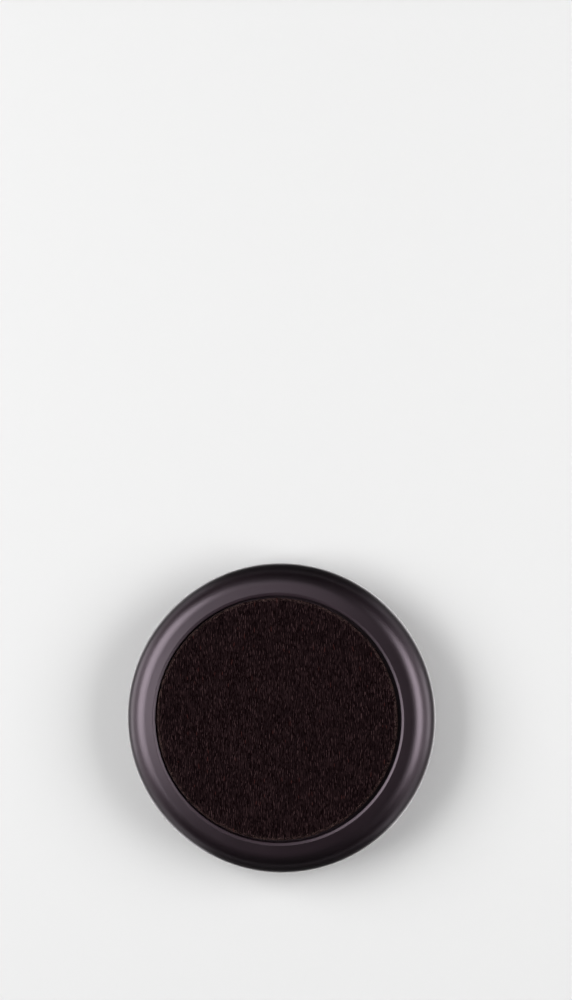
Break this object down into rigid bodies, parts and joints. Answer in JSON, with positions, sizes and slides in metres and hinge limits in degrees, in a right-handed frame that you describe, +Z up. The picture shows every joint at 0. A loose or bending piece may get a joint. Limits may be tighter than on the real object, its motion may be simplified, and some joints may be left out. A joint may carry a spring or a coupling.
{
  "type": "castor cup",
  "caption": "Shallow round plastic cup with a domed rim and a felt disc set into its base, placed under a furniture castor or leg to spare the floor.",
  "frame": {"origin": "on the floor, under the middle of the felt", "axes": "+Z up along the cup's axis, from the felt to the open dish; X and Y are free, because the cup is round"},
  "size_m": [0.06, 0.06, 0.012],
  "materials": {
    "cup_plastic": "satin",
    "felt": "matte"
  },
  "bodies": {
    "root": {"cup": "cup_plastic", "felt_pad": "felt"}
  },
  "joints": []
}
